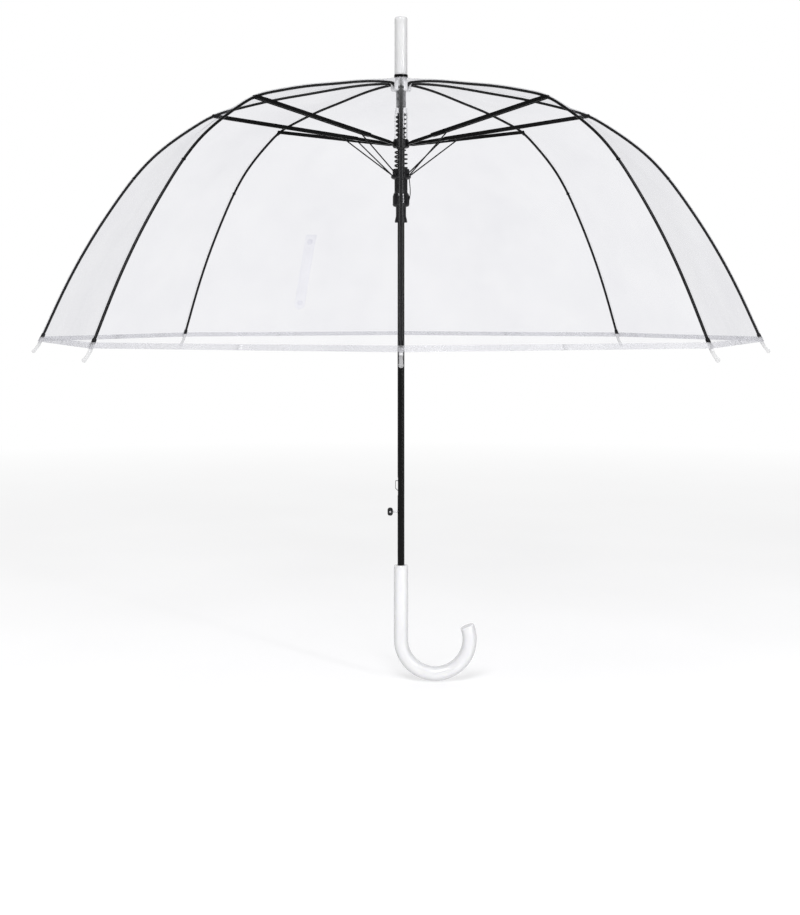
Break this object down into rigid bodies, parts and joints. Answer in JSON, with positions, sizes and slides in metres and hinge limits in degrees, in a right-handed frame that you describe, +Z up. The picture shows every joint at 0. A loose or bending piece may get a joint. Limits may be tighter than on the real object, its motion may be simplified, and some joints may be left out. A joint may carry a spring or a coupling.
{
  "type": "umbrella",
  "caption": "Clear dome umbrella on a black steel frame with a push button and a milky crook handle; it folds by ribs, stretchers and a sliding runner.",
  "frame": {"origin": "middle of the straight grip of the handle, on the shaft axis", "axes": "+Z up the shaft to the tip, +X towards the crook of the handle, the push button faces -X, rib 1 along +X"},
  "size_m": [0.9046, 0.9046, 0.8124],
  "materials": {
    "clear_film": "clear gloss film",
    "milky_plastic": "milky translucent gloss",
    "white_plastic": "satin",
    "nickel": "plated",
    "black_plastic": "satin",
    "spring_steel": "bright",
    "spring_steel_black": "blackened",
    "black_steel": "gloss paint"
  },
  "bodies": {
    "shaft": {"shaft": "black_steel", "handle": "milky_plastic", "tip_tube": "milky_plastic", "crown_notch": "white_plastic", "crown_sleeve": "nickel", "catch": "spring_steel"},
    "hub": {"hub": "black_plastic", "spring_cage": "white_plastic", "opening_spring": "spring_steel_black"},
    "lower_runner": {"lower_runner": "black_plastic"},
    "push_button": {"push_button": "black_plastic"},
    "rib_1_upper": {"rib_1_upper": "black_steel"},
    "rib_1_mid": {"rib_1_mid": "black_steel", "canopy_panel_1": "clear_film"},
    "rib_1_lower": {"rib_1_lower": "black_steel"},
    "stretcher_1": {"stretcher_1": "black_steel"},
    "tie_wire_1": {"tie_wire_1": "black_steel"},
    "rib_2_upper": {"rib_2_upper": "black_steel"},
    "rib_2_mid": {"rib_2_mid": "black_steel", "canopy_panel_2": "clear_film"},
    "rib_2_lower": {"rib_2_lower": "black_steel"},
    "stretcher_2": {"stretcher_2": "black_steel"},
    "tie_wire_2": {"tie_wire_2": "black_steel"},
    "rib_3_upper": {"rib_3_upper": "black_steel"},
    "rib_3_mid": {"rib_3_mid": "black_steel", "canopy_panel_3": "clear_film", "closure_strap": "clear_film"},
    "rib_3_lower": {"rib_3_lower": "black_steel"},
    "stretcher_3": {"stretcher_3": "black_steel"},
    "tie_wire_3": {"tie_wire_3": "black_steel"},
    "rib_4_upper": {"rib_4_upper": "black_steel"},
    "rib_4_mid": {"rib_4_mid": "black_steel", "canopy_panel_4": "clear_film"},
    "rib_4_lower": {"rib_4_lower": "black_steel"},
    "stretcher_4": {"stretcher_4": "black_steel"},
    "tie_wire_4": {"tie_wire_4": "black_steel"},
    "rib_5_upper": {"rib_5_upper": "black_steel"},
    "rib_5_mid": {"rib_5_mid": "black_steel", "canopy_panel_5": "clear_film"},
    "rib_5_lower": {"rib_5_lower": "black_steel"},
    "stretcher_5": {"stretcher_5": "black_steel"},
    "tie_wire_5": {"tie_wire_5": "black_steel"},
    "rib_6_upper": {"rib_6_upper": "black_steel"},
    "rib_6_mid": {"rib_6_mid": "black_steel", "canopy_panel_6": "clear_film"},
    "rib_6_lower": {"rib_6_lower": "black_steel"},
    "stretcher_6": {"stretcher_6": "black_steel"},
    "tie_wire_6": {"tie_wire_6": "black_steel"},
    "rib_7_upper": {"rib_7_upper": "black_steel"},
    "rib_7_mid": {"rib_7_mid": "black_steel", "canopy_panel_7": "clear_film"},
    "rib_7_lower": {"rib_7_lower": "black_steel"},
    "stretcher_7": {"stretcher_7": "black_steel"},
    "tie_wire_7": {"tie_wire_7": "black_steel"},
    "rib_8_upper": {"rib_8_upper": "black_steel"},
    "rib_8_mid": {"rib_8_mid": "black_steel", "canopy_panel_8": "clear_film"},
    "rib_8_lower": {"rib_8_lower": "black_steel"},
    "stretcher_8": {"stretcher_8": "black_steel"},
    "tie_wire_8": {"tie_wire_8": "black_steel"}
  },
  "joints": [
    {"name": "rib_1_fold", "type": "hinge", "parent": "shaft", "child": "rib_1_upper", "pos_m": [0.0085, 0, 0.63], "axis": [0, 1, 0], "range_deg": [0, 78.38], "stiffness_Nm_per_rad": 0.8, "springref_deg": -171.89},
    {"name": "elbow_1", "type": "hinge", "parent": "rib_1_upper", "child": "stretcher_1", "pos_m": [0.229, 0, 0.595], "axis": [0, -1, 0], "range_deg": [0, 156.76]},
    {"name": "rib_1_bend_upper", "type": "hinge", "parent": "rib_1_upper", "child": "rib_1_mid", "pos_m": [0.229, 0, 0.595], "axis": [0, -1, 0], "range_deg": [0, 26.38], "deforming": ["canopy_panel_1"]},
    {"name": "rib_1_bend_lower", "type": "hinge", "parent": "rib_1_mid", "child": "rib_1_lower", "pos_m": [0.327, 0, 0.51845], "axis": [0, -1, 0], "range_deg": [0, 21.17]},
    {"name": "tie_wire_1_turn", "type": "hinge", "parent": "stretcher_1", "child": "tie_wire_1", "pos_m": [0.07467, 0, 0.5705], "axis": [0, 1, 0], "range_deg": [0, 25.53]},
    {"name": "rib_2_fold", "type": "hinge", "parent": "shaft", "child": "rib_2_upper", "pos_m": [0.00601, 0.00601, 0.63], "axis": [-0.7071, 0.7071, 0], "range_deg": [0, 78.38]},
    {"name": "elbow_2", "type": "hinge", "parent": "rib_2_upper", "child": "stretcher_2", "pos_m": [0.16193, 0.16193, 0.595], "axis": [0.7071, -0.7071, 0], "range_deg": [0, 156.76]},
    {"name": "rib_2_bend_upper", "type": "hinge", "parent": "rib_2_upper", "child": "rib_2_mid", "pos_m": [0.16193, 0.16193, 0.595], "axis": [0.7071, -0.7071, 0], "range_deg": [0, 26.38], "deforming": ["canopy_panel_2"]},
    {"name": "rib_2_bend_lower", "type": "hinge", "parent": "rib_2_mid", "child": "rib_2_lower", "pos_m": [0.23122, 0.23122, 0.51845], "axis": [0.7071, -0.7071, 0], "range_deg": [0, 21.17]},
    {"name": "tie_wire_2_turn", "type": "hinge", "parent": "stretcher_2", "child": "tie_wire_2", "pos_m": [0.0528, 0.0528, 0.5705], "axis": [-0.7071, 0.7071, 0], "range_deg": [0, 25.53]},
    {"name": "rib_3_fold", "type": "hinge", "parent": "shaft", "child": "rib_3_upper", "pos_m": [0, 0.0085, 0.63], "axis": [-1, 0, 0], "range_deg": [0, 78.38]},
    {"name": "elbow_3", "type": "hinge", "parent": "rib_3_upper", "child": "stretcher_3", "pos_m": [0, 0.229, 0.595], "axis": [1, 0, 0], "range_deg": [0, 156.76]},
    {"name": "rib_3_bend_upper", "type": "hinge", "parent": "rib_3_upper", "child": "rib_3_mid", "pos_m": [0, 0.229, 0.595], "axis": [1, 0, 0], "range_deg": [0, 26.38], "deforming": ["canopy_panel_3", "closure_strap"]},
    {"name": "rib_3_bend_lower", "type": "hinge", "parent": "rib_3_mid", "child": "rib_3_lower", "pos_m": [0, 0.327, 0.51845], "axis": [1, 0, 0], "range_deg": [0, 21.17]},
    {"name": "tie_wire_3_turn", "type": "hinge", "parent": "stretcher_3", "child": "tie_wire_3", "pos_m": [0, 0.07467, 0.5705], "axis": [-1, 0, 0], "range_deg": [0, 25.53]},
    {"name": "rib_4_fold", "type": "hinge", "parent": "shaft", "child": "rib_4_upper", "pos_m": [-0.00601, 0.00601, 0.63], "axis": [-0.7071, -0.7071, 0], "range_deg": [0, 78.38]},
    {"name": "elbow_4", "type": "hinge", "parent": "rib_4_upper", "child": "stretcher_4", "pos_m": [-0.16193, 0.16193, 0.595], "axis": [0.7071, 0.7071, 0], "range_deg": [0, 156.76]},
    {"name": "rib_4_bend_upper", "type": "hinge", "parent": "rib_4_upper", "child": "rib_4_mid", "pos_m": [-0.16193, 0.16193, 0.595], "axis": [0.7071, 0.7071, 0], "range_deg": [0, 26.38], "deforming": ["canopy_panel_4"]},
    {"name": "rib_4_bend_lower", "type": "hinge", "parent": "rib_4_mid", "child": "rib_4_lower", "pos_m": [-0.23122, 0.23122, 0.51845], "axis": [0.7071, 0.7071, 0], "range_deg": [0, 21.17]},
    {"name": "tie_wire_4_turn", "type": "hinge", "parent": "stretcher_4", "child": "tie_wire_4", "pos_m": [-0.0528, 0.0528, 0.5705], "axis": [-0.7071, -0.7071, 0], "range_deg": [0, 25.53]},
    {"name": "rib_5_fold", "type": "hinge", "parent": "shaft", "child": "rib_5_upper", "pos_m": [-0.0085, 0, 0.63], "axis": [0, -1, 0], "range_deg": [0, 78.38]},
    {"name": "elbow_5", "type": "hinge", "parent": "rib_5_upper", "child": "stretcher_5", "pos_m": [-0.229, 0, 0.595], "axis": [0, 1, 0], "range_deg": [0, 156.76]},
    {"name": "rib_5_bend_upper", "type": "hinge", "parent": "rib_5_upper", "child": "rib_5_mid", "pos_m": [-0.229, 0, 0.595], "axis": [0, 1, 0], "range_deg": [0, 26.38], "deforming": ["canopy_panel_5"]},
    {"name": "rib_5_bend_lower", "type": "hinge", "parent": "rib_5_mid", "child": "rib_5_lower", "pos_m": [-0.327, 0, 0.51845], "axis": [0, 1, 0], "range_deg": [0, 21.17]},
    {"name": "tie_wire_5_turn", "type": "hinge", "parent": "stretcher_5", "child": "tie_wire_5", "pos_m": [-0.07467, 0, 0.5705], "axis": [0, -1, 0], "range_deg": [0, 25.53]},
    {"name": "rib_6_fold", "type": "hinge", "parent": "shaft", "child": "rib_6_upper", "pos_m": [-0.00601, -0.00601, 0.63], "axis": [0.7071, -0.7071, 0], "range_deg": [0, 78.38]},
    {"name": "elbow_6", "type": "hinge", "parent": "rib_6_upper", "child": "stretcher_6", "pos_m": [-0.16193, -0.16193, 0.595], "axis": [-0.7071, 0.7071, 0], "range_deg": [0, 156.76]},
    {"name": "rib_6_bend_upper", "type": "hinge", "parent": "rib_6_upper", "child": "rib_6_mid", "pos_m": [-0.16193, -0.16193, 0.595], "axis": [-0.7071, 0.7071, 0], "range_deg": [0, 26.38], "deforming": ["canopy_panel_6"]},
    {"name": "rib_6_bend_lower", "type": "hinge", "parent": "rib_6_mid", "child": "rib_6_lower", "pos_m": [-0.23122, -0.23122, 0.51845], "axis": [-0.7071, 0.7071, 0], "range_deg": [0, 21.17]},
    {"name": "tie_wire_6_turn", "type": "hinge", "parent": "stretcher_6", "child": "tie_wire_6", "pos_m": [-0.0528, -0.0528, 0.5705], "axis": [0.7071, -0.7071, 0], "range_deg": [0, 25.53]},
    {"name": "rib_7_fold", "type": "hinge", "parent": "shaft", "child": "rib_7_upper", "pos_m": [0, -0.0085, 0.63], "axis": [1, 0, 0], "range_deg": [0, 78.38]},
    {"name": "elbow_7", "type": "hinge", "parent": "rib_7_upper", "child": "stretcher_7", "pos_m": [0, -0.229, 0.595], "axis": [-1, 0, 0], "range_deg": [0, 156.76]},
    {"name": "rib_7_bend_upper", "type": "hinge", "parent": "rib_7_upper", "child": "rib_7_mid", "pos_m": [0, -0.229, 0.595], "axis": [-1, 0, 0], "range_deg": [0, 26.38], "deforming": ["canopy_panel_7"]},
    {"name": "rib_7_bend_lower", "type": "hinge", "parent": "rib_7_mid", "child": "rib_7_lower", "pos_m": [0, -0.327, 0.51845], "axis": [-1, 0, 0], "range_deg": [0, 21.17]},
    {"name": "tie_wire_7_turn", "type": "hinge", "parent": "stretcher_7", "child": "tie_wire_7", "pos_m": [0, -0.07467, 0.5705], "axis": [1, 0, 0], "range_deg": [0, 25.53]},
    {"name": "rib_8_fold", "type": "hinge", "parent": "shaft", "child": "rib_8_upper", "pos_m": [0.00601, -0.00601, 0.63], "axis": [0.7071, 0.7071, 0], "range_deg": [0, 78.38]},
    {"name": "elbow_8", "type": "hinge", "parent": "rib_8_upper", "child": "stretcher_8", "pos_m": [0.16193, -0.16193, 0.595], "axis": [-0.7071, -0.7071, 0], "range_deg": [0, 156.76]},
    {"name": "rib_8_bend_upper", "type": "hinge", "parent": "rib_8_upper", "child": "rib_8_mid", "pos_m": [0.16193, -0.16193, 0.595], "axis": [-0.7071, -0.7071, 0], "range_deg": [0, 26.38], "deforming": ["canopy_panel_8"]},
    {"name": "rib_8_bend_lower", "type": "hinge", "parent": "rib_8_mid", "child": "rib_8_lower", "pos_m": [0.23122, -0.23122, 0.51845], "axis": [-0.7071, -0.7071, 0], "range_deg": [0, 21.17]},
    {"name": "tie_wire_8_turn", "type": "hinge", "parent": "stretcher_8", "child": "tie_wire_8", "pos_m": [0.0528, -0.0528, 0.5705], "axis": [0.7071, 0.7071, 0], "range_deg": [0, 25.53]},
    {"name": "hub_slide_turn", "type": "hinge", "parent": "stretcher_1", "child": "hub", "pos_m": [0.0085, 0, 0.56], "axis": [0, 1, 0], "range_deg": [0, 78.38]},
    {"name": "runner_slide", "type": "slide", "parent": "hub", "child": "lower_runner", "axis": [0, 0, 1], "range_m": [0, 0.02502], "deforming": ["opening_spring", "catch"]},
    {"name": "button_press", "type": "slide", "parent": "shaft", "child": "push_button", "axis": [1, 0, 0], "range_m": [0, 0.0022], "stiffness_N_per_m": 600, "springref_m": -0.002}
  ],
  "couplings": [
    {"joint": "elbow_1", "follows": "rib_1_fold", "ratio": 2},
    {"joint": "rib_1_bend_upper", "follows": "rib_1_fold", "ratio": 0.3365},
    {"joint": "rib_1_bend_lower", "follows": "rib_1_fold", "ratio": 0.27011},
    {"joint": "tie_wire_1_turn", "follows": "rib_1_fold", "ratio": 0.32565},
    {"joint": "rib_2_fold", "follows": "rib_1_fold", "ratio": 1},
    {"joint": "elbow_2", "follows": "rib_1_fold", "ratio": 2},
    {"joint": "rib_2_bend_upper", "follows": "rib_1_fold", "ratio": 0.3365},
    {"joint": "rib_2_bend_lower", "follows": "rib_1_fold", "ratio": 0.27011},
    {"joint": "tie_wire_2_turn", "follows": "rib_1_fold", "ratio": 0.32565},
    {"joint": "rib_3_fold", "follows": "rib_1_fold", "ratio": 1},
    {"joint": "elbow_3", "follows": "rib_1_fold", "ratio": 2},
    {"joint": "rib_3_bend_upper", "follows": "rib_1_fold", "ratio": 0.3365},
    {"joint": "rib_3_bend_lower", "follows": "rib_1_fold", "ratio": 0.27011},
    {"joint": "tie_wire_3_turn", "follows": "rib_1_fold", "ratio": 0.32565},
    {"joint": "rib_4_fold", "follows": "rib_1_fold", "ratio": 1},
    {"joint": "elbow_4", "follows": "rib_1_fold", "ratio": 2},
    {"joint": "rib_4_bend_upper", "follows": "rib_1_fold", "ratio": 0.3365},
    {"joint": "rib_4_bend_lower", "follows": "rib_1_fold", "ratio": 0.27011},
    {"joint": "tie_wire_4_turn", "follows": "rib_1_fold", "ratio": 0.32565},
    {"joint": "rib_5_fold", "follows": "rib_1_fold", "ratio": 1},
    {"joint": "elbow_5", "follows": "rib_1_fold", "ratio": 2},
    {"joint": "rib_5_bend_upper", "follows": "rib_1_fold", "ratio": 0.3365},
    {"joint": "rib_5_bend_lower", "follows": "rib_1_fold", "ratio": 0.27011},
    {"joint": "tie_wire_5_turn", "follows": "rib_1_fold", "ratio": 0.32565},
    {"joint": "rib_6_fold", "follows": "rib_1_fold", "ratio": 1},
    {"joint": "elbow_6", "follows": "rib_1_fold", "ratio": 2},
    {"joint": "rib_6_bend_upper", "follows": "rib_1_fold", "ratio": 0.3365},
    {"joint": "rib_6_bend_lower", "follows": "rib_1_fold", "ratio": 0.27011},
    {"joint": "tie_wire_6_turn", "follows": "rib_1_fold", "ratio": 0.32565},
    {"joint": "rib_7_fold", "follows": "rib_1_fold", "ratio": 1},
    {"joint": "elbow_7", "follows": "rib_1_fold", "ratio": 2},
    {"joint": "rib_7_bend_upper", "follows": "rib_1_fold", "ratio": 0.3365},
    {"joint": "rib_7_bend_lower", "follows": "rib_1_fold", "ratio": 0.27011},
    {"joint": "tie_wire_7_turn", "follows": "rib_1_fold", "ratio": 0.32565},
    {"joint": "rib_8_fold", "follows": "rib_1_fold", "ratio": 1},
    {"joint": "elbow_8", "follows": "rib_1_fold", "ratio": 2},
    {"joint": "rib_8_bend_upper", "follows": "rib_1_fold", "ratio": 0.3365},
    {"joint": "rib_8_bend_lower", "follows": "rib_1_fold", "ratio": 0.27011},
    {"joint": "tie_wire_8_turn", "follows": "rib_1_fold", "ratio": 0.32565},
    {"joint": "hub_slide_turn", "follows": "rib_1_fold", "ratio": 1},
    {"joint": "runner_slide", "follows": "rib_1_fold", "m_per_rad": 0.018283}
  ]
}
